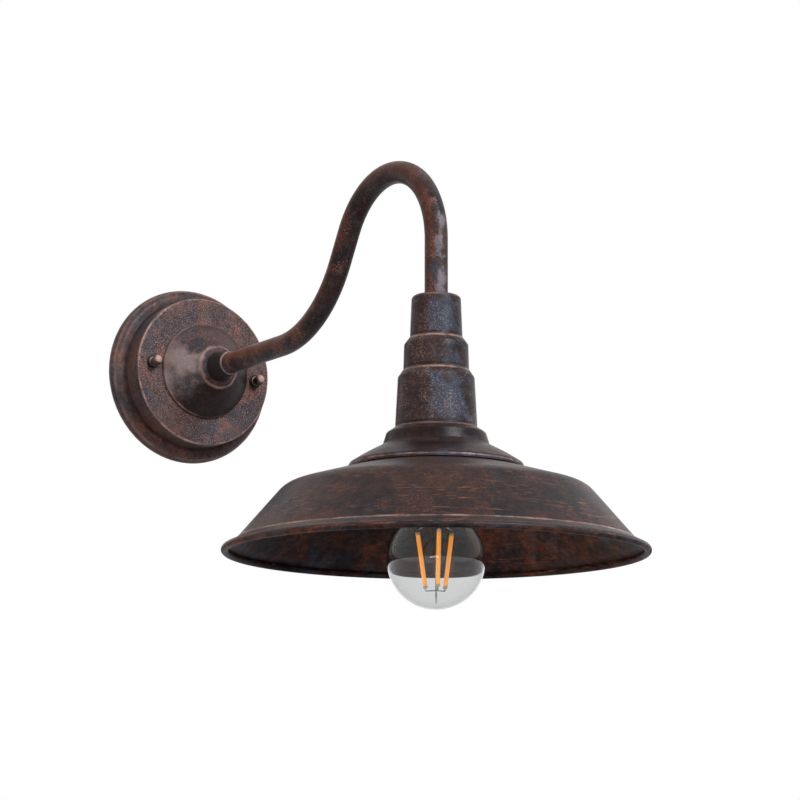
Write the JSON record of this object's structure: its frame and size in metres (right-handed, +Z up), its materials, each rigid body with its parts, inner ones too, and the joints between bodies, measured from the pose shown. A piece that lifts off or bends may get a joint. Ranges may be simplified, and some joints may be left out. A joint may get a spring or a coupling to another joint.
{
  "type": "gooseneck wall sconce",
  "caption": "Gooseneck wall sconce: round canopy with domed boss, swan-neck tube, stepped neck with skirt, wide spun shade and a clear filament bulb.",
  "frame": {"origin": "centre of the canopy and of the strap's slot pattern, on the wall plane", "axes": "+Z up, +Y into the wall, so the light stands out along -Y; +X to the right of someone facing the wall"},
  "size_m": [0.255, 0.4465, 0.2859],
  "materials": {
    "bronze_rust": "hand-brushed rust and bronze paint, half matt with worn edges",
    "black_paint": "black satin",
    "zinc_steel": "zinc-plated steel",
    "brass": "plain turned brass",
    "ceramic": "glazed white porcelain",
    "holder_black": "moulded black thermoset",
    "wire_black": "black insulation",
    "wire_white": "white insulation",
    "wire_green": "green insulation",
    "connector_plastic": "orange plastic",
    "grommet_black": "black rubber",
    "clear_glass": "clear glass",
    "cap_metal": "drawn aluminium",
    "insulator_black": "black vitrite glass",
    "tip_metal": "tinned contact",
    "filament_phosphor": "orange phosphor coat on the filament",
    "lead_metal": "nickel wire"
  },
  "bodies": {
    "wall_lamp": {"mounting_strap": "zinc_steel", "canopy_studs": "zinc_steel", "stud_nuts": "zinc_steel", "earth_screw": "brass", "earth_lug": "brass", "earth_wire": "wire_green", "canopy": "bronze_rust", "boss": "bronze_rust", "arm_collar": "black_paint", "arm": "bronze_rust", "arm_washer": "zinc_steel", "arm_nut": "zinc_steel", "wire_grommet": "grommet_black", "live_wire": "wire_black", "neutral_wire": "wire_white", "wire_connectors": "connector_plastic", "neck_housing": "bronze_rust", "neck_bush": "zinc_steel", "neck_set_screw": "zinc_steel", "arm_end_plug": "brass", "head_nipple": "brass", "holder_nut": "brass", "lampholder_cap": "holder_black", "lampholder_body": "holder_black", "contact_block": "ceramic", "terminal_screws": "brass", "screw_shell": "brass", "centre_contact": "brass"},
    "left_washer": {"left_cap_washer": "black_paint"},
    "left_nut": {"left_cap_nut": "bronze_rust"},
    "right_washer": {"right_cap_washer": "black_paint"},
    "right_nut": {"right_cap_nut": "bronze_rust"},
    "shade_body": {"shade": "bronze_rust"},
    "ring_body": {"shade_ring": "holder_black"},
    "bulb_globe": {"bulb_glass": "clear_glass"},
    "bulb_base": {"bulb_cap": "cap_metal", "bulb_insulator": "insulator_black", "bulb_tip": "tip_metal", "bulb_stem": "clear_glass", "bulb_filaments": "filament_phosphor", "bulb_leads": "lead_metal"}
  },
  "joints": [
    {"name": "left_nut_travel", "type": "slide", "parent": "wall_lamp", "child": "left_washer", "axis": [0, -1, 0], "range_m": [0, 0.0056]},
    {"name": "left_nut_turn", "type": "hinge", "parent": "left_washer", "child": "left_nut", "pos_m": [-0.04092, -0.0358, 0.0025], "axis": [0, -1, 0], "range_deg": [0, 2881]},
    {"name": "right_nut_travel", "type": "slide", "parent": "wall_lamp", "child": "right_washer", "axis": [0, -1, 0], "range_m": [0, 0.0056]},
    {"name": "right_nut_turn", "type": "hinge", "parent": "right_washer", "child": "right_nut", "pos_m": [0.04092, -0.0358, -0.0025], "axis": [0, -1, 0], "range_deg": [0, 2881]},
    {"name": "shade_drop", "type": "slide", "parent": "wall_lamp", "child": "shade_body", "axis": [0, 0, -1], "range_m": [0, 0.006]},
    {"name": "ring_turn", "type": "hinge", "parent": "shade_body", "child": "ring_body", "pos_m": [0, -0.319, -0.10931], "axis": [0, 0, -1], "range_deg": [0, 1081]},
    {"name": "bulb_travel", "type": "slide", "parent": "wall_lamp", "child": "bulb_globe", "axis": [0, 0, -1], "range_m": [0, 0.01815]},
    {"name": "bulb_turn", "type": "hinge", "parent": "bulb_globe", "child": "bulb_base", "pos_m": [0, -0.319, -0.10431], "axis": [0, 0, -1], "range_deg": [0, 1801]}
  ],
  "couplings": [
    {"joint": "left_nut_turn", "follows": "left_nut_travel", "rad_per_m": 8976},
    {"joint": "right_nut_turn", "follows": "right_nut_travel", "rad_per_m": 8976},
    {"joint": "ring_turn", "follows": "shade_drop", "rad_per_m": 3141.6},
    {"joint": "bulb_turn", "follows": "bulb_travel", "rad_per_m": 1731.4}
  ]
}
